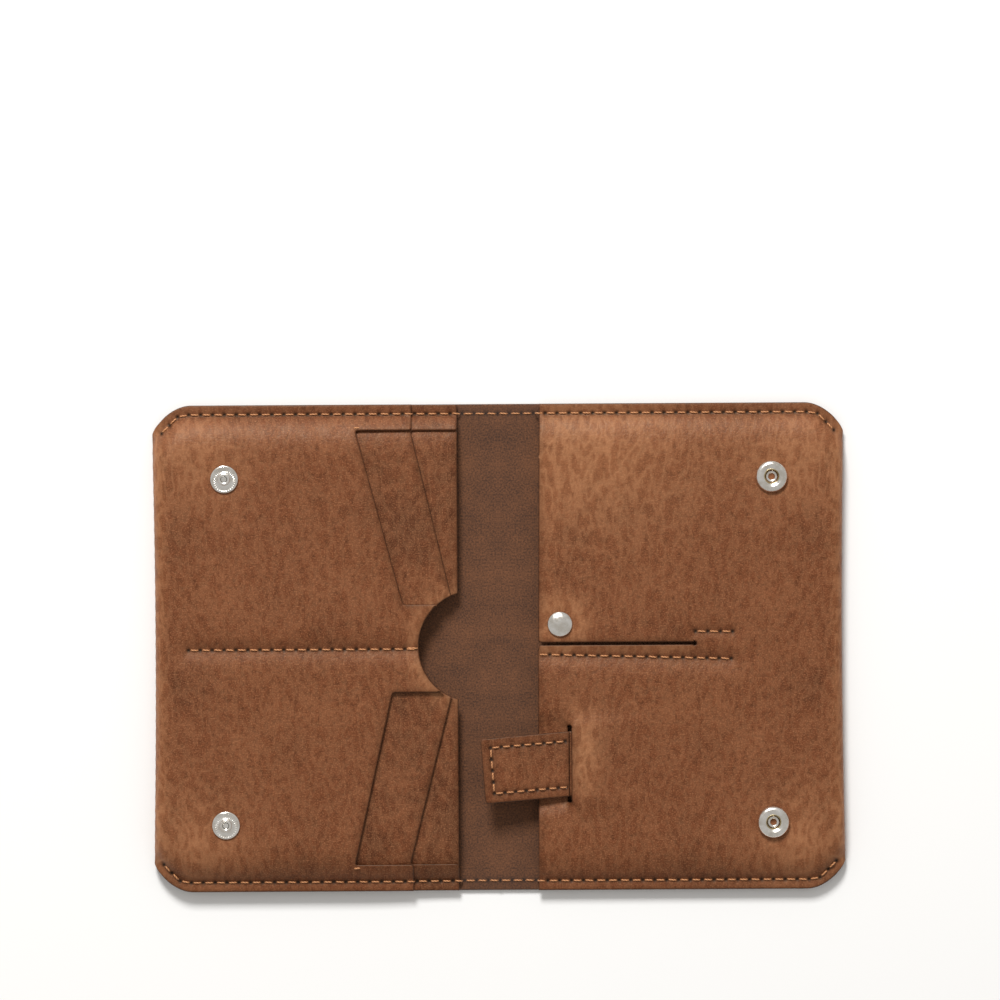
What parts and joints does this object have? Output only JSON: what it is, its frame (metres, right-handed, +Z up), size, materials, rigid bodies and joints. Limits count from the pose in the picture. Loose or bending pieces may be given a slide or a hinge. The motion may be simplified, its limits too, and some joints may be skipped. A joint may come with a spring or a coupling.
{
  "type": "passport holder",
  "caption": "Open bifold leather travel wallet: passport pocket and card slots on one half, note, coin and card pockets on the other, snap closures and a pull strap.",
  "frame": {"origin": "middle of the spine on the face that the open wallet lies on", "axes": "+X across both halves towards the coin pocket, +Y along the spine towards the top, +Z up out of the pockets"},
  "size_m": [0.217, 0.1524, 0.0112],
  "materials": {
    "waxed_leather": "waxed pull-up leather, fine pebble grain",
    "leaf_leather": "waxed leather leaf with a napped flesh side",
    "nickel": "polished nickel plate, lightly worn",
    "brass": "dull stamped brass",
    "thread": "waxed linen thread, two strands twisted"
  },
  "bodies": {
    "right_half": {"right_cover": "waxed_leather", "divider_leaf": "leaf_leather", "strap_loop": "waxed_leather", "upper_socket": "nickel", "upper_socket_post": "brass", "upper_spring": "brass", "lower_socket": "nickel", "lower_socket_post": "brass", "lower_spring": "brass", "coin_stud": "nickel", "coin_stud_post": "brass", "right_top_stitches": "thread", "right_bottom_stitches": "thread", "right_divider_stitches": "thread", "coin_stay_stitches": "thread", "strap_anchor_stitches": "thread"},
    "spine": {"spine_cover": "waxed_leather", "spine_stitches": "thread"},
    "left_half": {"left_cover": "waxed_leather", "middle_leaf": "leaf_leather", "inner_leaf": "leaf_leather", "upper_stud": "nickel", "upper_stud_post": "brass", "lower_stud": "nickel", "lower_stud_post": "brass", "left_top_stitches": "thread", "left_bottom_stitches": "thread", "left_divider_stitches": "thread", "mouth_tacks": "thread"},
    "coin_flap": {"coin_flap": "waxed_leather", "coin_cap": "nickel", "coin_socket": "nickel", "coin_spring": "brass"},
    "pull_tab": {"pull_strap": "waxed_leather", "tab_facing": "waxed_leather", "tab_stitches": "thread"}
  },
  "joints": [
    {"name": "cover_fold", "type": "hinge", "parent": "spine", "child": "left_half", "pos_m": [-0.0064, 0, 0.0028], "axis": [0, -1, 0], "range_deg": [-90, 0]},
    {"name": "spine_fold", "type": "hinge", "parent": "right_half", "child": "spine", "pos_m": [0.0064, 0, 0.0028], "axis": [0, -1, 0], "range_deg": [-90, 0], "deforming": ["pull_strap", "tab_facing", "tab_stitches", "strap_loop"]},
    {"name": "coin_flap_bend", "type": "hinge", "parent": "right_half", "child": "coin_flap", "pos_m": [0.0612, 0.001, 0.0069], "axis": [-0.6366, 0.7712, 0], "range_deg": [0, 60], "deforming": ["coin_flap"]},
    {"name": "strap_pull", "type": "slide", "parent": "right_half", "child": "pull_tab", "axis": [-0.9971, -0.0767, 0], "range_m": [0, 0.024], "deforming": ["pull_strap", "strap_loop"]}
  ],
  "couplings": [
    {"joint": "spine_fold", "follows": "cover_fold", "ratio": 1}
  ]
}
